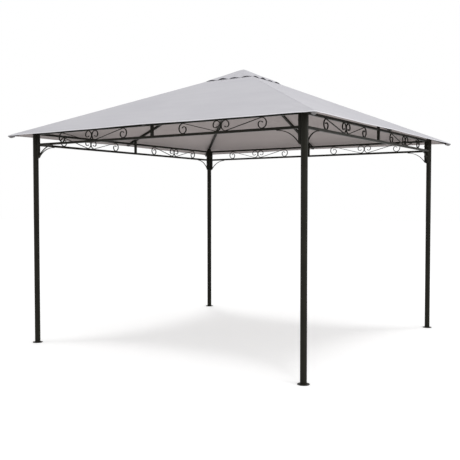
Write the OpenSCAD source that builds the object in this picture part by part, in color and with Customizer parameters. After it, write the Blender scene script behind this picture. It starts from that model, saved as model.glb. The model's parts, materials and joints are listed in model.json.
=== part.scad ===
// Garden gazebo with round posts, scrolled side panels, a rafter frame and a vented cloth roof.
// The origin is on the ground, at the middle of the four posts. +Z is up and -Y is the front.

/* [Posts and feet] */
// Distance between post centres along each side
post_spacing = 2670; // [2000:10:3600]
// Outside diameter of a post
post_d = 48; // [34:1:52]
// Diameter of a foot plate
foot_d = 87; // [80:1:120]
// Thickness of a foot plate
foot_t = 4; // [3:0.5:8]
// Distance between neighbouring peg holes in a foot plate
peg_spacing = 46; // [44:1:54]
// Diameter of a peg hole
peg_hole_d = 8.5; // [5:0.5:10]

/* [Side frame] */
// Clear height under the side panels
entry_height = 1752; // [1500:1:2200]
// Height of a side panel from its underside to its top
panel_height = 116; // [100:1:180]
// Side of the square rail tube
rail = 19; // [12:1:22]
// Side of the square upright at the middle of each side
mid_upright = 20; // [16:1:30]

/* [Scrollwork] */
// Thickness of the flat scroll bar
scroll_t = 5; // [3:0.5:6]
// Width of the flat scroll bar, across the panel
scroll_w = 10; // [6:1:12]
// Distance from the middle of a panel to the outer edge of its scrolls
scroll_reach = 388; // [300:1:460]
// Radius of the second turn of a scroll
curl_mid_r = 30; // [24:1:34]
// Radius of the last turn of a scroll
curl_end_r = 20; // [12:1:22]
// Sweep of the last turn of a scroll
curl_sweep = 150; // [90:5:200]
// Depth to which the scrolls are welded into the rails
weld = 1; // [0.5:0.1:1.5]

/* [Brackets] */
// Radius of the arched bar under a panel
arch_r = 205; // [180:5:420]
// Reach of the arched bar along the panel
arch_reach = 172; // [120:1:175]
// Length of the bracket upright below the foot of the arched bar
bracket_toe = 12; // [8:1:30]

/* [Roof] */
// Height of the rafters above the side panels
rafter_lift = 15; // [0:1:40]
// Width of the canopy across its eaves
canopy_width = 3000; // [2820:10:4200]
// Rise of the canopy from its eaves to its apex
roof_rise = 635; // [400:5:900]
// Thickness of the canopy
canopy_t = 5; // [3:0.5:8]
// Side of the square rafter tube
rafter = 20; // [14:1:26]
// Length of the cap on the outer end of a rafter
cap_length = 40; // [26:1:60]
// Depth by which a cap's nose hangs below its rafter
cap_drop = 4; // [0:0.5:8]
// Distance from a corner cap to the tip of the canopy
cap_inset = 12; // [10:1:24]
// Distance from a side cap to the edge of the canopy
side_cap_inset = 50; // [5:1:80]
// Distance across the flats of the crown
crown_flats = 110; // [90:1:160]
// Height of the crown above and below the rafter ends
crown_lip = 6; // [2:1:20]
// Length of the sockets that hold the rafter ends in the crown
socket_length = 60; // [30:1:80]
// Wall of a socket
socket_wall = 2; // [1.5:0.5:3]
// Diameter of the neck that holds up the vent cap
neck_d = 24; // [16:1:40]
// Width of the vent opening at the top of the canopy
vent_width = 400; // [240:5:480]
// Width of the vent cap
vent_cap_width = 510; // [500:5:700]
// Height of the air gap under the vent cap
vent_gap = 10; // [6:1:40]

/* [Fits] */
// Gap left where one piece seats on another
seat = 0.3; // [0.1:0.1:1]

/* [Hidden] */
$fn = 64;

corner_names = ["front_left", "front_right", "back_right", "back_left"];
side_names = ["front", "right", "back", "left"];
half_names = [["left", "right"], ["front", "back"], ["right", "left"], ["back", "front"]];

steel = "#2a2926";
plastic = "#232322";
cloth = "#c6c5cb";

// Places of the side frame
half_spacing = post_spacing / 2;
panel_top = entry_height + panel_height;
panel_start = mid_upright / 2;
panel_end = half_spacing - post_d / 2 - seat - rail;

// Scroll bars: two turning ends joined by the line that touches both of them
scroll_r = (panel_height - 2 * rail - scroll_t) / 2 + weld;
scroll_near = scroll_r + scroll_t / 2 - weld / 2;
scroll_far = scroll_reach - scroll_r - scroll_t / 2;
scroll_half = (scroll_far - scroll_near) / 2;
scroll_lean = asin(scroll_r / scroll_half);
scroll_line = 2 * sqrt(scroll_half ^ 2 - scroll_r ^ 2);

// The straight line of a scroll runs into the ends of its turns and is this much slimmer on each face
line_step = 0.1;

// The arched bar runs on into the bracket upright by this angle
arch_overrun = 2;

// Arched bar: it leaves the rail level and meets the bracket upright at this angle
arch_angle = asin(arch_reach / arch_r);
arch_drop = arch_r * (1 - cos(arch_angle));
bracket_bottom = entry_height - arch_drop - bracket_toe;

// Roof: the rafters rest on the side uprights, and the canopy rests on the rafters
canopy_half = canopy_width / 2;
slope = roof_rise / canopy_half;
hip_slope = slope / sqrt(2);
rafter_depth = rafter / cos(atan(slope));
hip_depth = rafter / cos(atan(hip_slope));
crown_sides = 8;
crown_apothem = crown_flats / 2;
crown_half_turn = 180 / crown_sides;
rafter_start = crown_apothem + seat;
rafter_tip = canopy_half - side_cap_inset;
hip_tip = canopy_half * sqrt(2) - cap_inset;

// Heights at a distance from the middle, square to a side
function rafter_under(r) =
    panel_top + rafter_lift + seat + slope * (half_spacing + mid_upright / 2 - r);
function rafter_top(r) = rafter_under(r) + rafter_depth;
function upright_top(r) = rafter_under(r) - seat;
function canopy_under(r) = rafter_top(r) + seat;
function vent_under(r) = canopy_under(r) + canopy_t + vent_gap;

// Heights at a distance from the middle, along a diagonal
function hip_top(p) = canopy_under(p / sqrt(2)) - hip_slope * rafter / 2 - seat;
function hip_under(p) = hip_top(p) - hip_depth;
function post_top(p) = hip_under(p) - seat;

// A side is drawn as the front one and turned into its place
module at_side(i) {
    rotate([0, 0, 90 * i]) children();
}

// A diagonal is drawn along +X and turned to its corner
module at_corner(i) {
    rotate([0, 0, 90 * i - 135]) children();
}

// A mid rafter is drawn along +X and turned to its side
module at_mid(i) {
    rotate([0, 0, 90 * i - 90]) children();
}

// Upright profile in the XZ plane, thickened along Y
module standing(thickness) {
    rotate([90, 0, 0])
        linear_extrude(height = thickness, center = true)
            children();
}

module post() {
    post_x = half_spacing * sqrt(2);
    near = post_x - post_d;
    far = post_x + post_d;
    color(steel)
        intersection() {
            translate([post_x, 0, foot_t])
                cylinder(d = post_d, h = panel_top + post_d);
            standing(2 * post_d)
                polygon([[near, 0], [far, 0], [far, post_top(far)], [near, post_top(near)]]);
        }
}

module foot() {
    color(steel)
        translate([half_spacing * sqrt(2), 0, 0])
            difference() {
                cylinder(d = foot_d, h = foot_t);
                for (turn = [0:90:270])
                    rotate([0, 0, turn])
                        translate([peg_spacing / sqrt(2), 0, -foot_t])
                            cylinder(d = peg_hole_d, h = 3 * foot_t);
            }
}

// Flat bar bent to a radius, from one angle through a sweep, in the XY plane
module bent_bar(radius, from, sweep) {
    rotate([0, 0, from])
        rotate_extrude(angle = sweep)
            translate([radius - scroll_t / 2, -scroll_w / 2])
                square([scroll_t, scroll_w]);
}

// One end of a scroll: a full-height turn that tightens into a curl
module scroll_end() {
    bent_bar(scroll_r, 90, 180 + scroll_lean);
    translate([0, scroll_r - curl_mid_r, 0]) {
        bent_bar(curl_mid_r, 0, 90);
        translate([curl_mid_r - curl_end_r, 0, 0])
            mirror([0, 1, 0])
                bent_bar(curl_end_r, 0, curl_sweep);
    }
}

module scroll() {
    for (turn = [0, 180])
        rotate([0, 0, turn])
            translate([-scroll_half, 0, 0])
                scroll_end();
    rotate([0, 0, scroll_lean])
        cube([scroll_line + 2 * weld, scroll_t - 2 * line_step, scroll_w - 2 * line_step], center = true);
}

// Half of a side: two rails with a mirrored pair of scrolls welded between them
module side_panel() {
    length = panel_end - panel_start;
    color(steel)
        translate([panel_start, -half_spacing, entry_height]) {
            for (z = [0, panel_height - rail])
                translate([0, -rail / 2, z])
                    cube([length, rail, rail]);
            translate([length / 2, 0, panel_height / 2])
                rotate([90, 0, 0])
                    for (way = [0, 1])
                        mirror([way, 0, 0])
                            translate([scroll_near + scroll_half, 0, 0])
                                scroll();
        }
}

// Upright against the post with the arched bar that braces the panel above it
module bracket() {
    arch_centre = entry_height - seat - arch_r - scroll_t / 2;
    color(steel)
        translate([0, -half_spacing, 0]) {
            standing(rail)
                polygon([
                    [panel_end, bracket_bottom + bracket_toe / 2],
                    [panel_end + rail, bracket_bottom - bracket_toe / 2],
                    [panel_end + rail, panel_top],
                    [panel_end, panel_top]
                ]);
            translate([panel_end - arch_reach, 0, arch_centre])
                rotate([90, 0, 0])
                    bent_bar(arch_r, 90 - arch_angle - arch_overrun, arch_angle + arch_overrun);
        }
}

// Upright at the middle of a side, with its top cut to the slope of the rafter on it
module mid_post() {
    near = half_spacing - mid_upright / 2;
    far = half_spacing + mid_upright / 2;
    color(steel)
        standing(mid_upright)
            polygon([
                [near, entry_height],
                [far, entry_height],
                [far, upright_top(far)],
                [near, upright_top(near)]
            ]);
}

module mid_rafter() {
    end = rafter_tip - cap_length;
    color(steel)
        standing(rafter)
            polygon([
                [rafter_start, rafter_under(rafter_start)],
                [end, rafter_under(end)],
                [end, rafter_top(end)],
                [rafter_start, rafter_top(rafter_start)]
            ]);
}

module hip_rafter() {
    end = hip_tip - cap_length;
    color(steel)
        standing(rafter)
            polygon([
                [rafter_start, hip_under(rafter_start)],
                [end, hip_under(end)],
                [end, hip_top(end)],
                [rafter_start, hip_top(rafter_start)]
            ]);
}

// Cap on a rafter end: flush with the top of the tube, hanging below it and round at the nose
module rafter_cap(tip, under, top, fall) {
    start = tip - cap_length;
    lean = atan(fall);
    nose_r = (top - under + cap_drop) / 2 * cos(lean);
    nose_x = tip - nose_r;
    nose_z = (top + under - cap_drop) / 2 - fall * (nose_x - start);
    // Where the nose leaves the straight upper and lower lines of the cap
    touch = nose_r * [sin(lean), cos(lean)];
    color(plastic)
        standing(rafter)
            union() {
                polygon([
                    [start, top],
                    [start, under],
                    [start + cap_drop, under - (1 + fall) * cap_drop],
                    [nose_x, nose_z] - touch,
                    [nose_x, nose_z] + touch
                ]);
                translate([nose_x, nose_z])
                    circle(r = nose_r);
            }
}

module corner_cap() {
    start = hip_tip - cap_length;
    rafter_cap(hip_tip, hip_under(start), hip_top(start), hip_slope);
}

module side_cap() {
    start = rafter_tip - cap_length;
    rafter_cap(rafter_tip, rafter_under(start), rafter_top(start), slope);
}

// Square sleeve for a rafter that leaves the crown at a height and falls with a slope
module socket(under, top, fall) {
    inner = crown_apothem - socket_wall;
    outer = crown_apothem + socket_length;
    function drop(r) = fall * (r - crown_apothem);
    function outline(from, to, around) = [
        [from, under - drop(from) - around],
        [to, under - drop(to) - around],
        [to, top - drop(to) + around],
        [from, top - drop(from) + around]
    ];
    difference() {
        standing(rafter + 2 * (seat + socket_wall))
            polygon(outline(inner, outer, seat + socket_wall));
        standing(rafter + 2 * seat)
            polygon(outline(crown_apothem - socket_wall / 2, outer + socket_wall, seat));
    }
}

// Eight-sided hub with a socket for each rafter and a neck under the vent cap
module crown() {
    bottom = rafter_under(crown_apothem) - crown_lip;
    top = hip_top(crown_apothem) + crown_lip;
    color(steel) {
        translate([0, 0, bottom])
            rotate([0, 0, crown_half_turn])
                cylinder(r = crown_apothem / cos(crown_half_turn), h = top - bottom, $fn = crown_sides);
        translate([0, 0, bottom])
            cylinder(d = neck_d, h = vent_under(neck_d / 2) - seat - bottom);
        for (i = [0:3]) {
            at_mid(i) socket(rafter_under(crown_apothem), rafter_top(crown_apothem), slope);
            at_corner(i) socket(hip_under(crown_apothem), hip_top(crown_apothem), hip_slope);
        }
    }
}

// One side of a pyramid roof, lifted off the rafters and cut back from the diagonals by a seam
module roof_side(inner, outer, lift, seam) {
    low = canopy_under(outer) + lift;
    high = canopy_under(inner) + lift;
    intersection() {
        rotate([90, 0, 90])
            linear_extrude(height = 2 * outer, center = true)
                polygon([
                    [-outer, low],
                    [-inner, high],
                    [-inner, high + canopy_t],
                    [-outer, low + canopy_t]
                ]);
        linear_extrude(height = 2 * panel_top)
            polygon([[0, -seam], [seam - outer, -outer], [outer - seam, -outer]]);
    }
}

// One side of the canopy, open at the top
module canopy_side() {
    color(cloth) roof_side(vent_width / 2, canopy_half, 0, 0);
}

// Small roof of four gores over the vent opening
module vent_cap() {
    color(cloth)
        for (i = [0:3])
            at_side(i) roof_side(0, vent_cap_width / 2, canopy_t + vent_gap, seat / sqrt(2));
}

for (i = [0:3]) {
    at_corner(i) post();
    at_corner(i) foot();
    at_corner(i) hip_rafter();
    at_mid(i) mid_post();
    at_mid(i) mid_rafter();
    at_side(i) canopy_side();
    at_corner(i) corner_cap();  // corner_caps
    at_mid(i) side_cap();  // side_caps
    for (end = [0, 1]) {
        at_side(i) mirror([1 - end, 0, 0]) side_panel();
        at_side(i) mirror([1 - end, 0, 0]) bracket();
    }
}
crown();
vent_cap();
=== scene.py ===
# %% [markdown]
# # A garden gazebo, from its steel frame to a finished picture
# The packed frame holds every rigid piece at its real size: posts, feet, scrolled panels, brackets,
# rafters and crown. This lesson adds what such a frame leaves open: the cloth roof with its hems and
# seams, the weld beads and bolts, and the finish of every surface. All lengths are metres, and the
# origin is on the ground between the four posts.

# %% Load the frame
import json
import math

import bpy
import numpy as np
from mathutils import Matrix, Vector


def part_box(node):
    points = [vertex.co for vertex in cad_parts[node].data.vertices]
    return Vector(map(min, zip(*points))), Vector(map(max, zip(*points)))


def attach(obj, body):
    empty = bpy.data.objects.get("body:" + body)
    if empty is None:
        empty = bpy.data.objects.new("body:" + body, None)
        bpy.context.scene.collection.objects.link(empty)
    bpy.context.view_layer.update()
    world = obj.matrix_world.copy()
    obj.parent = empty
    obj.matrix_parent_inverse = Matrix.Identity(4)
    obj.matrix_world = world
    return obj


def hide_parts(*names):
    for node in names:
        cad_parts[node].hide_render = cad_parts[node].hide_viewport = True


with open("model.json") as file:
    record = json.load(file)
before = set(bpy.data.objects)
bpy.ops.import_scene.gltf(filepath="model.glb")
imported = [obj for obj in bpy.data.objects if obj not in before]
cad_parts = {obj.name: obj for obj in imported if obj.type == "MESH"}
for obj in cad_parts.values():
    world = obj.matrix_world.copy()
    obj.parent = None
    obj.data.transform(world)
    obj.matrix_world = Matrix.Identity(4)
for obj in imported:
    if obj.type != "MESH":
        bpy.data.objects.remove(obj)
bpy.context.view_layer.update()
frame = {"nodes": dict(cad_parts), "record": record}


# %% [markdown]
# ## The camera
# The camera comes first, because every later choice is judged through it. Its place, direction and
# focal length were fitted to the feet, the posts and the rails of the real gazebo. The focal length in
# pixels turns into millimetres through the width of the sensor, which Blender takes as 36 mm.

# %% Camera
PHOTO_SIDE = 460
SENSOR_MM = 36.0
focal_pixels = 703.3
camera_place = (3.556, -5.607, 1.243)
camera_turn = math.radians(33.48)
camera_dip = math.radians(2.17)

lens = bpy.data.cameras.new("photo_camera")
lens.sensor_width = SENSOR_MM
lens.lens = focal_pixels / PHOTO_SIDE * SENSOR_MM
camera = bpy.data.objects.new("photo_camera", lens)
camera.location = camera_place
camera.rotation_euler = (math.pi / 2 - camera_dip, 0, camera_turn)
bpy.context.collection.objects.link(camera)
bpy.context.scene.camera = camera
bpy.context.scene.view_settings.view_transform = "Standard"
print("lens", round(lens.lens, 2), "mm")

# %% [markdown]
# ## Sizes read from the frame
# What a box can show isn't typed again: the roof's slope, the eaves, the posts, the rails and the
# rafters are measured on the frame's own nodes. If the frame changes, the cloth and the small parts
# follow it. Only what no box shows is written here: the thickness of the roof slabs and the gap at
# which one piece seats on another.

# %% Measure the frame
ROOF_SLAB = 0.005
SEAT = 0.0003
ROOT2 = math.sqrt(2)

roof_low, roof_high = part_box("canopy_front")
eave_half = -roof_low.y
vent_half = -roof_high.y
roof_slope = (roof_high.z - ROOF_SLAB - roof_low.z) / (eave_half - vent_half)
roof_angle = math.atan(roof_slope)
hip_slope = roof_slope / ROOT2
hip_angle = math.atan(hip_slope)
cap_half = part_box("vent_cap")[1].x
apex_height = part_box("vent_cap")[1].z

post_low, post_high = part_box("post_front_right")
post_radius = (post_high.x - post_low.x) / 2
half_spacing = (post_high.x + post_low.x) / 2
foot_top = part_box("foot_front_right")[1].z
panel_low, panel_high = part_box("front_panel_right")
rail_side = panel_high.y - panel_low.y
bracket_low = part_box("front_bracket_right")[0]
rafter_side = 2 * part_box("front_rafter")[1].x
rafter_depth = rafter_side / math.cos(roof_angle)
hip_depth = rafter_side / math.cos(hip_angle)


def roof_line(r):
    """Height of the roof slabs' underside at a distance from the middle, square to a side."""
    return roof_low.z + roof_slope * (eave_half - r)


print("eave", eave_half, "vent", round(vent_half, 3), "roof angle", round(math.degrees(roof_angle), 1))
print("rail", round(rail_side, 4), "rafter", round(rafter_side, 4), "post", round(2 * post_radius, 4))

# %% [markdown]
# ## Shader maths as Python
# A finish is a small sum of patterns: noise, threads, masks. Wiring such sums by hand hides what they
# say, so one class wraps a socket and lets Python's own operators add the Math nodes. Any other node
# comes from its make method, and the short methods under it only name the nodes that return in every
# finish.


# %% Signals
class Signal:
    """A shader socket that can stand in a Python expression."""

    def __init__(self, tree, socket=None):
        self.tree = tree
        self.socket = socket

    def make(self, kind, settings=None, sockets=None, output=0):
        """Add a node: its settings first, then a number, a colour or a link for each socket."""
        node = self.tree.nodes.new("ShaderNode" + kind)
        for name, value in (settings or {}).items():
            setattr(node, name, value)
        for name, value in (sockets or {}).items():
            if isinstance(value, Signal):
                self.tree.links.new(value.socket, node.inputs[name])
            else:
                node.inputs[name].default_value = value
        return Signal(self.tree, node.outputs[output] if node.outputs else None)

    def out(self, name):
        """Another output of the node behind this signal."""
        return Signal(self.tree, self.socket.node.outputs[name])

    def math(self, operation, *values):
        """A Math node on the values given."""
        return self.make("Math", {"operation": operation}, dict(enumerate(values)))

    def __add__(self, other):
        return self.math("ADD", self, other)

    def __radd__(self, other):
        return self.math("ADD", other, self)

    def __sub__(self, other):
        return self.math("SUBTRACT", self, other)

    def __rsub__(self, other):
        return self.math("SUBTRACT", other, self)

    def __mul__(self, other):
        return self.math("MULTIPLY", self, other)

    def __rmul__(self, other):
        return self.math("MULTIPLY", other, self)

    def __truediv__(self, other):
        return self.math("DIVIDE", self, other)

    def __rtruediv__(self, other):
        return self.math("DIVIDE", other, self)

    def __pow__(self, other):
        return self.math("POWER", self, other)

    def __rpow__(self, other):
        return self.math("POWER", other, self)

    def __abs__(self):
        return self.math("ABSOLUTE", self)

    def wave(self):
        """The sine of this signal."""
        return self.math("SINE", self)

    def step(self, low, high):
        """A smooth step from 0 at low to 1 at high."""
        smooth = {"interpolation_type": "SMOOTHSTEP"}
        return self.make("MapRange", smooth, {"Value": self, 1: low, 2: high})

    def spread(self):
        """A noise, which lies mostly between 0.3 and 0.7, spread from 0 to 1."""
        return self.step(0.3, 0.7)

    def colours(self, first, second):
        """A colour between two, with this signal as the share of the second."""
        return self.make("Mix", {"data_type": "RGBA"}, {0: self, 6: first, 7: second}, output=2)

    def place(self):
        """The object's own coordinates."""
        return self.make("TexCoord", output="Object")

    def stretched(self, x, y, z):
        """This vector with its axes scaled."""
        return self.make("VectorMath", {"operation": "MULTIPLY"}, {0: self, 1: (x, y, z)})

    def noise(self, scale, detail=2.0):
        """Soft noise over this vector, about 0 to 1."""
        return self.make("TexNoise", {}, {"Vector": self, "Scale": scale, "Detail": detail})

    def bump(self, strength, distance, over=None):
        """A normal bent by this height, over another normal if one is given."""
        sockets = {"Strength": strength, "Distance": distance, "Height": self}
        if over is not None:
            sockets["Normal"] = over
        return self.make("Bump", {}, sockets)


reflected = [name.strip("_") for name in vars(Signal) if name.startswith("__r")]
print("a number may also stand first in", reflected)


# %% Colours and finishes
def screen_colour(red, green, blue):
    """A linear colour from the 0 to 255 numbers of a screen."""
    shares = [c / 255 for c in (red, green, blue)]
    return (*[c / 12.92 if c <= 0.04045 else ((c + 0.055) / 1.055) ** 2.4 for c in shares], 1.0)


def new_finish(name, recipe):
    """A material whose shader comes from a recipe."""
    material = bpy.data.materials.new(name)
    material.use_nodes = True
    material.node_tree.nodes.clear()
    start = Signal(material.node_tree)
    start.make("OutputMaterial", {}, {"Surface": recipe(start)})
    print("finish", name, len(material.node_tree.nodes), "nodes")
    return material


print("mid grey in linear light", round(screen_colour(128, 128, 128)[0], 3))

# %% [markdown]
# ## Powder coat on the steel
# The tubes are sprayed with a dark powder and baked. The film melts into a satin skin with a faint
# orange peel, a little thinner and shinier in places. Sharp model edges would give it away, so a Bevel
# node rounds the normals of every edge by the radius of a drawn tube, and a fine Bump lies on top of
# it.

# %% Powder coat
TUBE_EDGE = 0.0016
PEEL_PER_M = 700.0
FILM_PER_M = 60.0
COAT_CLOUD_PER_M = 5.0


def powder_coat(start):
    """A satin film, nearly black, with an orange peel."""
    place = start.place()
    peel = place.noise(PEEL_PER_M)
    film = place.noise(FILM_PER_M, 3.0)
    cloud = place.noise(COAT_CLOUD_PER_M, 4.0)
    tone = (cloud * 0.7 + film * 0.3).spread()
    rounded = start.make("Bevel", {"samples": 4}, {"Radius": TUBE_EDGE})
    return start.make("BsdfPrincipled", {}, {
        "Base Color": tone.colours(screen_colour(30, 29, 24), screen_colour(38, 37, 31)),
        "Roughness": 0.34 + film * 0.16,
        "Specular IOR Level": 0.09,
        "Normal": (peel + film * 0.5).bump(0.12, 0.0003, over=rounded),
    })


frame_finish = new_finish("powder_coat", powder_coat)

# %% [markdown]
# ## Moulded caps and blackened bolts
# The rafters end in plastic caps, a touch greyer and duller than the steel, with the fine spark texture
# of a mould. The bolts are blackened steel: dark, but metallic, with worn spots where a spanner has
# been. Both are one or two noises, because the pieces are too small to show more.

# %% Caps and bolts
SPARK_PER_M = 1500.0
MOULD_CLOUD_PER_M = 40.0
WEAR_PER_M = 400.0


def moulded_plastic(start):
    """Matt plastic with a spark texture."""
    place = start.place()
    spark = place.noise(SPARK_PER_M, 1.0)
    cloud = place.noise(MOULD_CLOUD_PER_M, 3.0)
    return start.make("BsdfPrincipled", {}, {
        "Base Color": cloud.spread().colours(screen_colour(56, 54, 53), screen_colour(66, 64, 62)),
        "Roughness": 0.55 + cloud * 0.15,
        "Normal": spark.bump(0.4, 0.0002),
    })


def blackened_steel(start):
    """Dark oxide on steel, worn through in spots."""
    grain = start.place().noise(WEAR_PER_M, 3.0)
    worn = grain.step(0.52, 0.72)
    return start.make("BsdfPrincipled", {}, {
        "Base Color": worn.colours(screen_colour(48, 47, 45), screen_colour(92, 90, 86)),
        "Metallic": 0.5 + worn * 0.4,
        "Roughness": 0.5 - worn * 0.15,
        "Normal": grain.bump(0.2, 0.0001),
    })


cap_finish = new_finish("moulded_plastic", moulded_plastic)
bolt_finish = new_finish("blackened_steel", blackened_steel)

# %% [markdown]
# ## Canopy cloth
# The roof is a coated plain weave in a cool pale grey. Seen close it is threads over and under, which
# two sine waves multiplied together give. Seen from afar it is soft clouds, faint streaks from the
# roll, and creases from the packet. The hem is two layers, and its paler band along the arched edge is
# painted light, for the light on its turned-down face, so the finish works out the same edge line as
# the sheet. The underside has a duller, warmer coating, as a finish of its own.

# %% Hem line in the finish
HEM = 0.018
EDGE_ARCH = 0.020
CORNER_EASE = 0.007
CORNER_POWER = 40
# Where the painted shade of the stitched groove lies inside the hem line, and how wide it is.
GROOVE_SHADE_LINE = 0.004
hem_start = eave_half - HEM


def past_hem(start, x, y):
    """How far a point lies beyond the line where the hem starts."""
    reach = start.math("MAXIMUM", abs(x), abs(y))
    across = start.math("MINIMUM", abs(x), abs(y)) / reach
    cut_back = (1 - across * across) * EDGE_ARCH - across**CORNER_POWER * CORNER_EASE
    return reach + cut_back - hem_start


print("hem starts", round(hem_start, 4), "from the middle, before the edge is arched")

# %% Cloth
THREAD = 0.0011
CREASE_PITCH = 0.46
CREASE_WIDTH = 0.012
CREASE_WANDER = 0.05
WANDER_PER_M = 2.5
CLOTH_CLOUD_PER_M = 1.7
ROLL_STREAK = (0.8, 0.8, 16.0)
STREAK_PER_M = 2.0
SLUB_PER_M = 420.0
WEAVE_RELIEF = 0.00007
SLUB_RELIEF = 0.00006
CREASE_RELIEF = 0.0005
STREAK_RELIEF = 0.0012
# The grey of the painted shade along the stitched groove above the hem, and its share.
PAINTED_GROOVE_SHADE = screen_colour(120, 119, 122)
GROOVE_SHADE_SHARE = 0.25
HEM_EDGE = 0.002


def crease_mask(start, along):
    """A thin line each time a coordinate passes a fold of the packed cloth."""
    phase = start.math("FRACT", along / CREASE_PITCH + 0.5)
    return 1 - (abs(phase - 0.5) * CREASE_PITCH).step(0.0, CREASE_WIDTH)


def cloth_recipe(dark, light, hem_colour):
    """The recipe of a plain weave between two tones, with a hem of a third."""

    def recipe(start):
        place = start.place()
        x = start.make("SeparateXYZ", {}, {"Vector": place})
        y = x.out("Y")
        turns = 2 * math.pi / THREAD
        weave = (x * turns).wave() * (y * turns).wave()
        cloud = place.noise(CLOTH_CLOUD_PER_M, 3.0)
        streak = place.stretched(*ROLL_STREAK).noise(STREAK_PER_M, 3.0)
        slub = place.noise(SLUB_PER_M)
        wander = place.noise(WANDER_PER_M, 1.0) * CREASE_WANDER
        crease = start.math("MAXIMUM", crease_mask(start, x + wander), crease_mask(start, y + wander))
        tone = (cloud * 0.55 + streak * 0.35 + slub * 0.1 + weave * 0.06).spread()
        beyond = past_hem(start, x, y)
        # A thin darker line just above the hem is painted shade, for the shadow in the groove the needle
        # presses in.
        sewn = 1 - abs(beyond + GROOVE_SHADE_LINE).step(GROOVE_SHADE_LINE / 2, GROOVE_SHADE_LINE)
        with_groove_shade = (sewn * GROOVE_SHADE_SHARE).colours(tone.colours(dark, light), PAINTED_GROOVE_SHADE)
        threads = weave * WEAVE_RELIEF + slub * SLUB_RELIEF
        height = threads + crease * CREASE_RELIEF + streak * STREAK_RELIEF
        return start.make("BsdfPrincipled", {}, {
            # Beyond the hem line the colour turns to the hem's colour; the outer weave's paler hem is
            # painted light.
            "Base Color": beyond.step(0.0, HEM_EDGE).colours(with_groove_shade, hem_colour),
            "Roughness": 0.78 + slub * 0.12,
            "Normal": height.bump(0.7, 1.0),
            "Sheen Weight": 0.06,
            "Specular IOR Level": 0.3,
        })

    return recipe


outer_weave = cloth_recipe(
    dark=screen_colour(196, 195, 201),
    light=screen_colour(203, 202, 207),
    # Paler than the cloth: painted light, for the light on the turned-down face of the hem.
    hem_colour=screen_colour(225, 224, 229),
)
lining_weave = cloth_recipe(
    dark=screen_colour(176, 167, 165),
    light=screen_colour(183, 174, 172),
    hem_colour=screen_colour(178, 170, 169),
)
cloth_finish = new_finish("canopy_weave", outer_weave)
lining_finish = new_finish("canopy_lining", lining_weave)

# %% [markdown]
# ## Thread, and painted shade on the pockets
# Seams are sewn with a polyester thread a little paler than the cloth. Each stitch is a small grain of
# its own, so the finish only needs the twist of the yarn. The pockets that strengthen the corners of
# the canopy take the cloth's own recipe with darker greys, which are painted shade.

# %% Thread and pocket shade
TWIST_PER_M = 2600.0


def sewing_thread(start):
    """Pale twisted yarn."""
    twist = start.place().noise(TWIST_PER_M, 1.0)
    return start.make("BsdfPrincipled", {}, {
        "Base Color": twist.spread().colours(screen_colour(196, 195, 199), screen_colour(216, 215, 219)),
        "Roughness": 0.6 + twist * 0.2,
        "Normal": twist.bump(0.5, 0.0002),
    })


# The pockets' darker greys are painted shade, for the shade under the canopy's corners.
shaded_pocket_weave = cloth_recipe(
    dark=screen_colour(130, 128, 129),
    light=screen_colour(140, 138, 139),
    hem_colour=screen_colour(134, 132, 133),
)
thread_finish = new_finish("sewing_thread", sewing_thread)
shaded_pocket_finish = new_finish("shaded_pocket_weave", shaded_pocket_weave)

# %% [markdown]
# ## Finishes on the frame's own pieces
# The frame's meshes are right as they are, so they only get their finish in their material slots. The
# record says which slot each node belongs to, and a small table turns slots into finishes.

# %% Assign finishes to the frame
slot_finish = {"frame": frame_finish, "canopy": cloth_finish, "caps": cap_finish}
for subpart in frame["record"]["subparts"]:
    node_mesh = frame["nodes"][subpart["node"]].data
    node_mesh.materials.clear()
    node_mesh.materials.append(slot_finish[subpart["material_slot"]])

# %% [markdown]
# ## Helpers for new pieces
# New pieces are plain lists of points and faces. A piece joins the scene, takes its finish and rides on
# the frame's only body, all in one helper, so that no piece can forget one of them.
# All four sides of the gazebo are alike, so a shape is drawn once for the front and turned to the
# others.


# %% Piece helpers
def new_piece(name, points, faces, finishes, slot):
    """A smooth mesh that belongs to the gazebo."""
    mesh = bpy.data.meshes.new(name)
    mesh.from_pydata([tuple(p) for p in points], [], [tuple(f) for f in faces])
    for material in finishes:
        mesh.materials.append(material)
    mesh.shade_smooth()
    piece = bpy.data.objects.new(name, mesh)
    bpy.context.collection.objects.link(piece)
    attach(piece, "root")
    print("piece", name, len(mesh.vertices), "points")
    return piece


def joined(shapes):
    """One list of points and one of faces from many shapes."""
    points = []
    faces = []
    for shape_points, shape_faces in shapes:
        start = len(points)
        points.extend(tuple(p) for p in shape_points)
        faces.extend(tuple(i + start for i in face) for face in shape_faces)
    return points, faces


def turned(points, side):
    """Points drawn for the front side, turned to side 0 front, 1 right, 2 back or 3 left."""
    points = np.asarray(points, float)
    cosine, sine = [(1, 0), (0, 1), (-1, 0), (0, -1)][side]
    x = points[:, 0] * cosine - points[:, 1] * sine
    y = points[:, 0] * sine + points[:, 1] * cosine
    return np.stack([x, y, points[:, 2]], axis=1)


def smooth_step(low, high, value):
    """A smooth step from 0 at low to 1 at high."""
    share = np.clip((value - low) / (high - low), 0, 1)
    return share * share * (3 - 2 * share)


print("a front point turned to the right side", turned([(0, -1, 0)], 1)[0])

# %% [markdown]
# ## The canopy sheet
# The real roof is four sewn gores pulled over the rafters, so it is one sheet and not four plates. It
# lies on the hips and the mid rafters, hangs a little in each bay between them, and carries small folds
# that run out from the corners. A cloth simulation could find such a shape, but a stretched sheet
# hardly moves, and formulas keep it clear of the tubes. They give the height of any point from two
# numbers: how far out it lies, and its place across its side, from -1 at one hip to 1 at the other.

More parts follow.
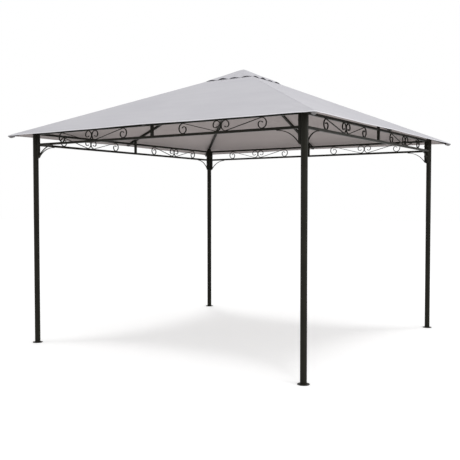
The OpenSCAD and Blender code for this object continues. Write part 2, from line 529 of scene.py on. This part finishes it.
# %% Folds
FOLD_DEPTH = 0.0022
SIDE_SHIFT = 1.7
SLANTED_FOLDS = [(1.2, 2.9, 1.0, 0.5), (-2.1, 1.9, 2.3, 0.35)]
LEVEL_FOLDS = 6.5
LEVEL_WEIGHT = 0.3
LEVEL_SWAY = 1.8
SWAY_TURNS = 4.0
CORNER_FOLD = 0.0035
CORNER_REACH = 0.42
FAN_STARTS = 0.03
FAN_FULL = 0.15
FAN_FADES = 4
FAN_FOLDS = 20


def slow_folds(u, r, side):
    """Long shallow waves of loosely stretched cloth, different on each side."""
    shift = SIDE_SHIFT * side
    sway = LEVEL_SWAY * np.sin(SWAY_TURNS * u + shift)
    folds = LEVEL_WEIGHT * np.sin(2 * np.pi * LEVEL_FOLDS * r + sway)
    for per_m_across, per_m_down, turn, weight in SLANTED_FOLDS:
        phase = 2 * np.pi * (per_m_across * u + per_m_down * r) + turn * shift
        folds = folds + weight * np.sin(phase)
    return FOLD_DEPTH * folds


def corner_folds(u, r):
    """Folds that fan out from a pulled corner and die away."""
    along = eave_half - np.abs(u)
    up = eave_half - r
    distance = np.hypot(along, up)
    angle = np.arctan2(up, along)
    fade = np.exp(-((distance / CORNER_REACH) ** 2)) * smooth_step(FAN_STARTS, FAN_FULL, distance)
    return CORNER_FOLD * fade * np.sin(FAN_FADES * angle) * np.sin(FAN_FOLDS * angle)


print("folds", FOLD_DEPTH * 1000, "mm deep in the bays and", CORNER_FOLD * 1000, "mm at the corners")

# %% Canopy heights
CLOTH = 0.0012
CLOTH_LIFT = 0.0006
RIDGE_ROUND = 0.005
BAY_SAG = 0.011
TIGHT_FROM = 0.75
SAG_TIGHTENED = 0.6
FOLDS_TIGHTENED = 0.5


def ridge_drop(across, r):
    """How far a rounded hip lies under a sharp one."""
    from_hip = (r - np.abs(across * r)) / ROOT2
    return hip_slope * (np.sqrt(from_hip**2 + RIDGE_ROUND**2) - from_hip)


def bay_depth(across):
    """0 on a hip or a mid rafter and 1 halfway between them."""
    return 4 * np.abs(across) * (1 - np.abs(across))


def canopy_height(across, r, side):
    """Height of the canopy's upper face."""
    u = across * r
    out = r / eave_half
    tight = smooth_step(TIGHT_FROM, 1.0, out)
    bay = bay_depth(across)
    sag = BAY_SAG * bay * out**2 * (1 - SAG_TIGHTENED * tight)
    folds = np.sqrt(bay) * out * slow_folds(u, r, side) * (1 - FOLDS_TIGHTENED * tight)
    flat = roof_line(r) + CLOTH_LIFT + CLOTH
    return flat - ridge_drop(across, r) - sag + folds + corner_folds(u, r)


bay_sag = canopy_height(0.0, 1.0, 0) - canopy_height(0.5, 1.0, 0)
print("sag in a bay, 1 m out", round(bay_sag * 1000, 1), "mm")

# %% [markdown]
# ## The canopy's edge and mesh
# The lower edge is cut in a shallow arch, so that pulling the corners also tightens the edge, and it
# turns down into the hem. A row of points at the stitch line is pressed in a little, as a needle does.
# The mesh is a set of rings from the vent opening outward. A Solidify modifier then gives it thickness,
# with the lining underneath.

# %% Canopy edge
HEM_ROWS = 7
HEM_TURN = math.radians(48)
HEM_PROUD = 0.0008


def hem_line(across):
    """Where the hem starts: arched along a side, and reaching out over the caps at the corners."""
    return hem_start - EDGE_ARCH * (1 - across**2) + CORNER_EASE * np.abs(across) ** CORNER_POWER


hem_corner = hem_line(1.0)
hem_angles = roof_angle + (HEM_TURN - roof_angle) * np.linspace(0, 1, HEM_ROWS + 1)[1:]
hem_out = np.concatenate([[0], np.cumsum(np.cos(hem_angles)) * HEM / HEM_ROWS])
hem_drop = np.concatenate([[0], np.cumsum(np.sin(hem_angles)) * HEM / HEM_ROWS])


def sheet_height(across, r, side):
    """Height of the canopy's upper face, also where the hem turns down."""
    hem_r = hem_line(across)
    beyond = np.maximum(r - hem_r, 0)
    top = canopy_height(across, np.minimum(r, hem_r), side)
    return top - np.interp(beyond, hem_out, hem_drop) + HEM_PROUD * (beyond > 0)


print("hem reaches", round(hem_corner + hem_out[-1], 4), "at the corners")

# %% Ring helpers
EVEN_SHARE = 0.3


def side_columns(count):
    """Places across a side from -1 up to 1, closer together at the hips."""
    even = np.linspace(-1, 1, count, endpoint=False)
    return EVEN_SHARE * even + (1 - EVEN_SHARE) * np.sin(even * np.pi / 2)


def side_ring(across, r, height):
    """The points of one ring on the front side."""
    return np.stack([across * r, -r * np.ones_like(across), height], axis=1)


def joined_rings(sides):
    """Rings round the whole roof, from the rings of its four sides."""
    return np.concatenate([turned(ring, side) for row in zip(*sides) for side, ring in enumerate(row)])


def ring_faces(rows, columns):
    """Quads between rings of points, facing up when each ring is outside the last."""
    faces = []
    for row in range(rows - 1):
        for column in range(columns):
            right = (column + 1) % columns
            inner = row * columns
            outer = inner + columns
            faces.append((inner + column, outer + column, outer + right, inner + right))
    return faces


def thicken(piece, thickness):
    """Give a sheet its thickness on the underside, with its second finish there."""
    solid = piece.modifiers.new("thickness", "SOLIDIFY")
    solid.thickness = thickness
    solid.offset = -1
    solid.material_offset = 1
    solid.material_offset_rim = 0


print("two rings of eight points have", len(ring_faces(2, 8)), "faces between them")

# %% Canopy sheet
SIDE_COLUMNS = 116
ROOF_ROWS = 58
LAST_ROW = 0.004
NEEDLE_WIDTH = 0.0015
NEEDLE_DEPTH = 0.0004


def canopy_rings(across, side):
    """The rings of one side, from the vent opening down to the edge of the hem."""
    hem_r = hem_line(across)
    rings = []
    for share in np.linspace(0, 1, ROOF_ROWS):
        r = vent_half + share * (hem_r - LAST_ROW - vent_half)
        rings.append(side_ring(across, r, canopy_height(across, r, side)))
    for r in (hem_r - NEEDLE_WIDTH, hem_r):
        rings.append(side_ring(across, r, canopy_height(across, r, side) - NEEDLE_DEPTH))
    for out in hem_out[1:]:
        r = hem_r + out
        rings.append(side_ring(across, r, sheet_height(across, r, side)))
    return rings


canopy_sides = [canopy_rings(side_columns(SIDE_COLUMNS), side) for side in range(4)]
canopy_faces = ring_faces(len(canopy_sides[0]), 4 * SIDE_COLUMNS)
canopy = new_piece(
    "canopy_cloth", joined_rings(canopy_sides), canopy_faces, [cloth_finish, lining_finish], "canopy"
)
thicken(canopy, CLOTH)

# %% [markdown]
# ## The vent cap
# Over the opening at the top sits a small cloth roof that lets warm air out. Its edge is sewn down at
# the corners and at three points along each side, and the cloth between them stands up in low arches.
# That gives the row of dark gaps under its edge. The rings are made as for the canopy and closed at the
# apex, and only the height formula differs. No two gaps are alike, because cloth is never equally
# slack.

# %% Vent cap heights
VENT_ARCHES = 4
VENT_ARCH = 0.0135
VENT_OPEN = 0.88
VENT_PEAK = 0.42
VENT_LIFTS_FROM = 0.3
MEAN_SLACK = 0.85
SLACK_RANGE = 0.25
GAP_TURN = 2.2
SIDE_TURN = 0.5
FIRST_TURN = -0.9
TACK_GAP = 0.0012
APEX_ROUND = 0.018


def vent_slack(gap, side):
    """How slack the cloth over a gap is, about 0.6 to 1.1."""
    return MEAN_SLACK + SLACK_RANGE * np.sin(GAP_TURN * gap + SIDE_TURN * side + FIRST_TURN)


def vent_arch(across, side):
    """0 where the edge is sewn down, and the slack at the peak of each gap."""
    along = (across + 1) / 2 * VENT_ARCHES
    within = (along % 1 - (1 - VENT_OPEN) / 2) / VENT_OPEN
    rising = np.clip(within / VENT_PEAK, 0, 1)
    falling = np.clip((1 - within) / (1 - VENT_PEAK), 0, 1)
    return vent_slack(np.floor(along), side) * np.sin(np.minimum(rising, falling) * np.pi / 2)


def vent_height(across, r, side):
    """Height of the vent cap's upper face."""
    crown = apex_height - roof_slope * (np.sqrt(r**2 + APEX_ROUND**2) - APEX_ROUND)
    edge = canopy_height(across, r, side) + CLOTH + TACK_GAP
    out = r / cap_half
    straight = (1 - out) * (crown - ridge_drop(across, r) * out) + out * edge
    return straight + VENT_ARCH * vent_arch(across, side) * smooth_step(VENT_LIFTS_FROM, 1.0, out)


print("slack of the front gaps", vent_slack(np.arange(VENT_ARCHES), 0).round(2))

# %% Vent cap sheet
VENT_COLUMNS = 64
VENT_ROWS = 30
VENT_HEM = 0.012
FIRST_RING = 0.006

vent_across = side_columns(VENT_COLUMNS)
vent_radii = [*np.linspace(FIRST_RING, cap_half - VENT_HEM, VENT_ROWS), cap_half - VENT_HEM / 2, cap_half]


def vent_rings(side):
    """The rings of one side of the vent cap, from the apex outward."""
    return [side_ring(vent_across, r, vent_height(vent_across, r, side)) for r in vent_radii]


vent_sides = [vent_rings(side) for side in range(4)]
vent_points = [*joined_rings(vent_sides), (0, 0, apex_height)]
vent_faces = ring_faces(len(vent_radii), 4 * VENT_COLUMNS)
apex_index = len(vent_points) - 1
for column in range(4 * VENT_COLUMNS):
    vent_faces.append((apex_index, column, (column + 1) % (4 * VENT_COLUMNS)))
vent = new_piece("vent_cap_cloth", vent_points, vent_faces, [cloth_finish, cloth_finish], "canopy")
thicken(vent, CLOTH)

# %% [markdown]
# ## Hip seams
# Along each hip two gores are joined by a flat seam, a narrow band that lies on the ridge. A strip of
# its own shows in the picture as the seam does, where a line in the finish would vanish from the side.
# It is swept along the hip with the same height formula as the sheet under it, and thins out where it
# meets the hem.

# %% Hip seams
SEAM_HALF = 0.007
SEAM_THICK = 0.0008
SEAM_SINK = 0.0004
SEAM_STEPS = 90
SEAM_TUCK = 0.03
SEAM_RUN_ON = 0.002
SEAM_THINS = 0.02
SEAM_THINNED = 0.7
seam_across = np.array([-1.0, -0.92, -0.5, 0.0, 0.5, 0.92, 1.0]) * SEAM_HALF
seam_lift = np.array([0.0001, 0.9, 1.0, 1.0, 1.0, 0.9, 0.0001]) * SEAM_THICK


def rod_faces(rings, sides):
    """Faces of a rod made of rings, closed at both ends and pointing outward."""
    faces = [face[::-1] for face in ring_faces(rings, sides)]
    faces.append(tuple(range(sides - 1, -1, -1)))
    faces.append(tuple(range((rings - 1) * sides, rings * sides)))
    return faces


def roof_point(across_hip, r, side, lift):
    """Points of the canopy beside the hip that starts a side, at distances square to the hip."""
    u = -r + np.abs(across_hip) * ROOT2
    height = canopy_height(u / r, r, side) + lift
    plain = np.stack([u, np.full_like(u, -r), height], axis=1)
    mirrored = np.stack([np.full_like(u, -r), u, height], axis=1)
    return np.where((across_hip < 0)[:, None], plain, mirrored)


def hip_seam(side):
    """The band over the hip that starts a side."""
    rings = []
    for r in np.linspace(cap_half - SEAM_TUCK, hem_corner + SEAM_RUN_ON, SEAM_STEPS):
        thinned = 1 - SEAM_THINNED * smooth_step(hem_corner - SEAM_THINS, hem_corner, r)
        top = roof_point(seam_across, r, side, seam_lift * thinned)
        under = roof_point(seam_across, r, side, -SEAM_SINK)
        rings.append(np.concatenate([top, under[::-1]]))
    return turned(np.concatenate(rings), side), rod_faces(SEAM_STEPS, len(rings[0]))


seam_shapes = [hip_seam(side) for side in range(4)]
seams = new_piece("canopy_hip_seams", *joined(seam_shapes), [cloth_finish], "canopy")

# %% [markdown]
# ## Stitches
# Stitches run along both edges of each seam, along the hem and along the vent cap's edge. On the real
# cloth they catch the light as a dotted line, so each is an eight-sided grain of thread, and thousands
# of them make one joined mesh. The grains follow a line of points at an even pitch, whatever the
# spacing of the points.

# %% Stitch helper
STITCH_PITCH = 0.0065
STITCH_LONG = 0.0046
STITCH_WIDE = 0.0009
STITCH_HIGH = 0.0006
STITCH_AIM = 0.002
GRAIN_FACES = [(0, 3, 2), (0, 4, 3), (0, 5, 4), (0, 2, 5), (1, 2, 3), (1, 3, 4), (1, 4, 5), (1, 5, 2)]


def unit(vectors):
    """Vectors of length 1."""
    return vectors / np.linalg.norm(vectors, axis=1)[:, None]


def stitched_line(points):
    """Grains of thread along a line of points, lying on what is under it."""
    points = np.asarray(points, float)
    lengths = np.concatenate([[0], np.cumsum(np.linalg.norm(np.diff(points, axis=0), axis=1))])

    def at(distances):
        return np.stack([np.interp(distances, lengths, points[:, axis]) for axis in range(3)], axis=1)

    middles = np.arange(STITCH_PITCH / 2, lengths[-1], STITCH_PITCH)
    along = unit(at(middles + STITCH_AIM) - at(middles - STITCH_AIM))
    side_way = unit(np.cross(along, (0, 0, 1.0)))
    up = np.cross(side_way, along)
    half_sizes = (along * STITCH_LONG / 2, side_way * STITCH_WIDE / 2, up * STITCH_HIGH / 2)
    shapes = []
    for c, t, s, n in zip(at(middles), *half_sizes):
        shapes.append(([c + t, c - t, c + s, c + n, c - s, c - n], GRAIN_FACES))
    return shapes


print("stitches to a metre", round(1 / STITCH_PITCH))

# %% Stitches
SEAM_MARGIN = 0.0018
HEM_MARGIN = 0.0024
SEAM_OFF_VENT = 0.004
SEAM_OFF_HEM = 0.01
SEAM_POINTS = 200
HEM_LINE_END = 0.995
HEM_POINTS = 400
VENT_LINE_END = 0.99
VENT_POINTS = 160
seam_radii = np.linspace(cap_half + SEAM_OFF_VENT, hem_corner - SEAM_OFF_HEM, SEAM_POINTS)
hem_across = np.linspace(-HEM_LINE_END, HEM_LINE_END, HEM_POINTS)
vent_line_across = np.linspace(-VENT_LINE_END, VENT_LINE_END, VENT_POINTS)


def canopy_stitches(side):
    """The stitches of one side: along both edges of its hip seam, and along its hem."""
    shapes = []
    for edge in (-1, 1):
        off_hip = np.array([edge * (SEAM_HALF - SEAM_MARGIN)])
        line = [roof_point(off_hip, r, side, SEAM_THICK)[0] for r in seam_radii]
        shapes.extend(stitched_line(turned(line, side)))
    hem_r = hem_line(hem_across)
    height = canopy_height(hem_across, hem_r, side) + HEM_PROUD - HEM_MARGIN * roof_slope
    line = side_ring(hem_across, hem_r + HEM_MARGIN, height)
    shapes.extend(stitched_line(turned(line, side)))
    return shapes


def vent_stitches_of(side):
    """The stitches along one edge of the vent cap."""
    r = cap_half - VENT_HEM
    height = vent_height(vent_line_across, r, side) + STITCH_HIGH / 4
    return stitched_line(turned(side_ring(vent_line_across, r, height), side))


canopy_grains = [grain for side in range(4) for grain in canopy_stitches(side)]
stitches = new_piece("canopy_stitching", *joined(canopy_grains), [thread_finish], "canopy")
vent_grains = [grain for side in range(4) for grain in vent_stitches_of(side)]
vent_stitches = new_piece("vent_cap_stitching", *joined(vent_grains), [thread_finish], "canopy")
print("stitches", len(canopy_grains) + len(vent_grains))

# %% [markdown]
# ## Corner pockets
# Under each corner of the canopy a small cloth pouch slips over the end of its hip rafter and
# keeps the sheet taut. Its darker grey is painted shade. It hangs from the hem, goes round the cap and
# is open towards the middle. It is drawn along the diagonal as rings of one U each: the two ends of a U
# are sewn to the sheet, and its belly clears the cap.

# %% Pocket shape
POCKET_LONG = 0.060
POCKET_HALF = 0.015
POCKET_TIP = 0.0002
POCKET_LOOSE = 0.003
POCKET_NOSE = 0.036
POCKET_FULLNESS = 0.5
POCKET_COLUMNS = 37
SEWN_IN = 0.0015
CAP_DROP = 0.004
tip_reach = (hem_corner + hem_out[-1]) * ROOT2


def pocket_ring(back):
    """One U of the front left pocket, at a distance back from the tip of the hem."""
    diagonal = tip_reach - back
    sewn_half = np.clip(back - SEWN_IN, POCKET_TIP, POCKET_HALF)
    belly_half = min(sewn_half, rafter_side / 2 + POCKET_LOOSE)
    turn = np.linspace(0, np.pi, POCKET_COLUMNS)
    hang = np.sin(turn) ** POCKET_FULLNESS
    half = sewn_half + (belly_half - sewn_half) * hang
    across = np.sign(np.cos(turn)) * np.abs(np.cos(turn)) ** POCKET_FULLNESS * half
    sewn_place = (diagonal - sewn_half) / (diagonal + sewn_half)
    sewn_height = sheet_height(sewn_place, (diagonal + sewn_half) / ROOT2, 0) - CLOTH / 2
    hip_under = roof_line(diagonal / ROOT2) - hip_slope * rafter_side / 2 - SEAT - hip_depth
    deepest = sewn_height - (hip_under - CAP_DROP) + POCKET_LOOSE
    drop = deepest * math.sin(min(back / POCKET_NOSE, 1) * math.pi / 2)
    x = (across - diagonal) / ROOT2
    y = (-across - diagonal) / ROOT2
    return np.stack([x, y, sewn_height - hang * drop], axis=1)


print("tip of the hem", round(tip_reach, 4), "from the middle")

# %% Pockets
POCKET_CLOTH = 0.0008
POCKET_ROWS = 22
NOSE_SHARE = 0.05

pocket_stations = POCKET_LONG * (1 - np.cos(np.linspace(NOSE_SHARE, 1, POCKET_ROWS) * np.pi / 2))
pocket_points = np.concatenate([pocket_ring(back) for back in pocket_stations])
pocket_faces = []
for row in range(POCKET_ROWS - 1):
    for column in range(POCKET_COLUMNS - 1):
        start = row * POCKET_COLUMNS + column
        pocket_faces.append((start, start + 1, start + POCKET_COLUMNS + 1, start + POCKET_COLUMNS))
pocket_shapes = [(turned(pocket_points, side), pocket_faces) for side in range(4)]
pockets = new_piece("corner_pockets", *joined(pocket_shapes), [shaded_pocket_finish, shaded_pocket_finish], "canopy")
thicken(pockets, POCKET_CLOTH)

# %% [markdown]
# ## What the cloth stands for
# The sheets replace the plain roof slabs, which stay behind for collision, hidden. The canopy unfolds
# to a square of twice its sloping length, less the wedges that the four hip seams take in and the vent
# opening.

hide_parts("canopy_front", "canopy_right", "canopy_back", "canopy_left")
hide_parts("vent_cap")

# %% [markdown]
# ## Weld beads
# Every scroll is welded to the rails where its turns touch them, each arch to its rail and upright, and
# each post to its foot. A bead is a short rod of melted metal with ripples, so it is a row of rings
# whose radius swells in the middle. A foot's bead is a rippled ring with the section of a fillet. Real
# beads are what tells a welded frame from a glued one, so they are meshes and not bump.

# %% Bead shape
BEAD_LONG = 0.015
BEAD_RADIUS = 0.0017
BEAD_SIDES = 8
BEAD_RINGS = 9
BEAD_TIP = 0.15
BEAD_RIPPLE = 0.12
BEAD_RIPPLES = 9


def circle(sides):
    """The angles of the points of a circle."""
    return np.arange(sides) * 2 * np.pi / sides


def weld_bead(centre, direction):
    """A rippled rod along a direction, drawn in the XZ plane of a side."""
    centre = np.asarray(centre, float)
    along = np.asarray(direction, float)
    across = np.array([0.0, 1.0, 0.0])
    up = np.cross(along, across)
    points = []
    for share in np.linspace(-1, 1, BEAD_RINGS):
        swell = max(BEAD_TIP, math.sqrt(1 - share**2))
        radius = BEAD_RADIUS * swell * (1 + BEAD_RIPPLE * math.sin(BEAD_RIPPLES * share))
        for turn in circle(BEAD_SIDES):
            round_way = across * math.cos(turn) + up * math.sin(turn)
            points.append(centre + along * share * BEAD_LONG / 2 + round_way * radius)
    return points, rod_faces(BEAD_RINGS, BEAD_SIDES)


print("bead", BEAD_LONG * 1000, "mm long", BEAD_RADIUS * 2000, "mm thick")

# %% Foot bead
FOOT_BEAD = 0.0034
FOOT_BEAD_ROOT = 0.001
FOOT_SEGMENTS = 96
FOOT_RIPPLES = [(16, 0.1), (41, 0.05)]
FILLET = [(1.0, 0.0), (0.55, 0.35), (0.25, 0.6), (0.0, 1.3)]
fillet_section = [(out * FOOT_BEAD, rise * FOOT_BEAD) for out, rise in FILLET]
foot_section = [(-FOOT_BEAD_ROOT, 0.0), *fillet_section, (-FOOT_BEAD_ROOT, fillet_section[-1][1])]


def foot_bead():
    """The rippled fillet between the front right post and its foot."""
    points = []
    for turn in circle(FOOT_SEGMENTS):
        ripple = 1 + sum(depth * math.sin(count * turn) for count, depth in FOOT_RIPPLES)
        for out, rise in foot_section:
            radius = post_radius + out * (ripple if out > 0 else 1)
            x = half_spacing + radius * math.cos(turn)
            y = -half_spacing + radius * math.sin(turn)
            points.append((x, y, foot_top + rise * ripple))
    faces = []
    count = len(foot_section)
    for here in range(FOOT_SEGMENTS):
        near = here * count
        far = (here + 1) % FOOT_SEGMENTS * count
        for j in range(count):
            k = (j + 1) % count
            faces.append((near + j, far + j, far + k, near + k))
    return points, faces


print("foot bead", FOOT_SEGMENTS, "segments")

# %% Where the beads lie
SCROLL_BAR = 0.005
SCROLL_REACH = 0.388
SCROLL_WELD = 0.001
SCROLL_HALF_WIDTH = 0.005
BEAD_SUNK = 0.0004
ARCH_FOOT_RISE = 0.022
LEVEL = (1.0, 0.0, 0.0)
UPRIGHT = (0.0, 0.0, 1.0)

panel_middle = (panel_low.x + panel_high.x) / 2
turn_radius = (panel_high.z - panel_low.z - 2 * rail_side - SCROLL_BAR) / 2 + SCROLL_WELD
turn_near = turn_radius + SCROLL_BAR / 2 - SCROLL_WELD / 2
turn_far = SCROLL_REACH - turn_radius - SCROLL_BAR / 2
rail_faces = (panel_low.z + rail_side, panel_high.z - rail_side)
half_side_beads = []
for face in (-1, 1):
    y = -half_spacing + face * SCROLL_HALF_WIDTH
    for reach in (turn_near, turn_far):
        for way in (-1, 1):
            for z in rail_faces:
                half_side_beads.append(weld_bead((panel_middle + way * reach, y, z), LEVEL))
    arch_top = (bracket_low.x + BEAD_LONG, y, panel_low.z - BEAD_SUNK)
    arch_foot = (panel_high.x - BEAD_SUNK, y, bracket_low.z + ARCH_FOOT_RISE)
    half_side_beads.append(weld_bead(arch_top, LEVEL))
    half_side_beads.append(weld_bead(arch_foot, UPRIGHT))

bead_shapes = []
for side in range(4):
    for mirror in (1, -1):
        for points, faces in half_side_beads:
            placed = np.asarray(points) * (mirror, 1, 1)
            ordered = faces if mirror == 1 else [face[::-1] for face in faces]
            bead_shapes.append((turned(placed, side), ordered))
    points, faces = foot_bead()
    bead_shapes.append((turned(points, side), faces))
beads = new_piece("weld_beads", *joined(bead_shapes), [frame_finish], "frame")

# %% [markdown]
# ## Bolts
# Two bolts hold each bracket upright to its post, and one holds each rafter in its crown socket. A bolt
# is a turned washer under a six-sided head. The same turning helper makes both, because a hexagon is
# only a circle of six sides.

# %% Bolt shape
WASHER = [(0.0061, 0.0), (0.0066, 0.0003), (0.0066, 0.0010), (0.0061, 0.0013)]
WASHER_SIDES = 24
HEAD = [(0.0054, 0.0013), (0.0058, 0.0017), (0.0058, 0.0045), (0.0050, 0.0052)]
HEAD_SIDES = 6


def turned_shape(profile, sides):
    """A shape turned round +Z from (radius, height) pairs, closed at both ends."""
    points = []
    for radius, height in profile:
        for turn in circle(sides):
            points.append((radius * math.cos(turn), radius * math.sin(turn), height))
    return points, rod_faces(len(profile), sides)


def bolt(place, axis):
    """A bolt whose head stands up along an axis."""
    spin = Vector((0, 0, 1)).rotation_difference(Vector(axis)).to_matrix()
    points, faces = joined([turned_shape(WASHER, WASHER_SIDES), turned_shape(HEAD, HEAD_SIDES)])
    return [spin @ Vector(p) + Vector(place) for p in points], faces


print("bolt head", HEAD[1][0] * 2000, "mm across its corners")

# %% Bolts
SOCKET_MIDDLE = 0.085
SOCKET_WALL = 0.002
LOWER_BOLT_DROP = 0.042
bolt_heights = [(panel_low.z + panel_high.z) / 2, panel_low.z - LOWER_BOLT_DROP]
socket_corner = SOCKET_MIDDLE / ROOT2
hip_lean = math.sin(hip_angle) / ROOT2
under_rafter = roof_line(SOCKET_MIDDLE) - 2 * SEAT - rafter_depth - SOCKET_WALL
under_hip = roof_line(socket_corner) - hip_slope * rafter_side / 2 - 2 * SEAT - hip_depth - SOCKET_WALL

side_bolts = []
for way in (-1, 1):
    for z in bolt_heights:
        side_bolts.append(bolt((way * panel_high.x, -half_spacing, z), (-way, 0, 0)))
rafter_axis = (0, math.sin(roof_angle), -math.cos(roof_angle))
hip_axis = (hip_lean, hip_lean, -math.cos(hip_angle))
crown_bolts = [
    bolt((0, -SOCKET_MIDDLE, under_rafter), rafter_axis),
    bolt((-socket_corner, -socket_corner, under_hip), hip_axis),
]
bolt_shapes = []
for side in range(4):
    for points, faces in side_bolts + crown_bolts:
        bolt_shapes.append((turned(points, side), faces))
bolts = new_piece("bolts", *joined(bolt_shapes), [bolt_finish], "frame")
for polygon in bolts.data.polygons:
    polygon.use_smooth = False

# %% [markdown]
# ## Floor, light and background
# The gazebo stands in a plain white studio. A wide soft light overhead and a key from the right give
# the two roof faces their small difference. The world is white to the camera and to reflections, and
# dimmer as a light. The floor is pale and shows the soft shade under the roof. A little light of its
# own brings the open floor to white for the camera. There is less of it under the roof, in a star whose
# points are the four feet: a painted shadow, which gathers where the gazebo touches the ground.

# %% Floor
SHADE_GLOW = 0.285
OPEN_GLOW = 0.44
SHADE_CORE = 1.2
SHADE_RIM = 2.6
SHADE_POINT = 0.64
FLOOR_HALF = 40.0
FLOOR_CLOUD_PER_M = 3.0


def seen_rays(start):
    """1 for rays from the camera, and for reflections and glass, and 0 for light on the object."""
    path = start.make("LightPath", output="Is Camera Ray")
    return start.math("MINIMUM", path + path.out("Is Glossy Ray") + path.out("Is Transmission Ray"), 1.0)


def grey(level):
    """A grey of one linear level."""
    return (level, level, level, 1.0)


def pale_floor(start):
    """A matt pale floor that is white to the camera away from the gazebo."""
    place = start.place()
    x = start.make("SeparateXYZ", {}, {"Vector": place})
    y = x.out("Y")
    first_diagonal = (abs(x + y) / ROOT2) ** SHADE_POINT
    second_diagonal = (abs(x - y) / ROOT2) ** SHADE_POINT
    away = (first_diagonal + second_diagonal) ** (1 / SHADE_POINT)
    cloud = place.noise(FLOOR_CLOUD_PER_M)
    return start.make("BsdfPrincipled", {}, {
        "Base Color": cloud.colours(screen_colour(233, 233, 233), screen_colour(236, 236, 236)),
        "Roughness": 1.0,
        "Specular IOR Level": 0.0,
        # Less of the floor's own light in a star under the gazebo: a painted shadow.
        "Emission Color": away.step(SHADE_CORE, SHADE_RIM).colours(grey(SHADE_GLOW), grey(OPEN_GLOW)),
        "Emission Strength": seen_rays(start),
    })


floor_mesh = bpy.data.meshes.new("floor")
floor_corners = [(FLOOR_HALF * x, FLOOR_HALF * y, 0) for x, y in [(-1, -1), (1, -1), (1, 1), (-1, 1)]]
floor_mesh.from_pydata(floor_corners, [], [(0, 1, 2, 3)])
floor_mesh.materials.append(new_finish("pale_floor", pale_floor))
floor = bpy.data.objects.new("floor", floor_mesh)
bpy.context.collection.objects.link(floor)

# %% World and lights
SKY_LIGHT = 0.78

world = bpy.data.worlds.new("white_studio")
world.use_nodes = True
world.node_tree.nodes.clear()
sky = Signal(world.node_tree)
strength = SKY_LIGHT + seen_rays(sky) * (1 - SKY_LIGHT)
background = sky.make("Background", {}, {"Color": (1, 1, 1, 1), "Strength": strength})
sky.make("OutputWorld", {}, {"Surface": background})
bpy.context.scene.world = world


def soft_light(name, place, target, size, power):
    """A square lamp that looks at a target."""
    lamp = bpy.data.lights.new(name, "AREA")
    lamp.size = size
    lamp.energy = power
    light = bpy.data.objects.new(name, lamp)
    light.location = place
    light.rotation_euler = (Vector(target) - Vector(place)).to_track_quat("-Z", "Y").to_euler()
    bpy.context.collection.objects.link(light)
    print("light", name, power, "W")


soft_light("overhead", place=(0.0, -0.5, 8.0), target=(0.0, 0.0, 1.5), size=7.0, power=55.0)
soft_light("key", place=(9.0, -2.0, 4.5), target=(0.0, 0.0, 1.8), size=4.0, power=190.0)

# %% [markdown] ## Sizes
# The cloth stands a little proud of the frame's box.
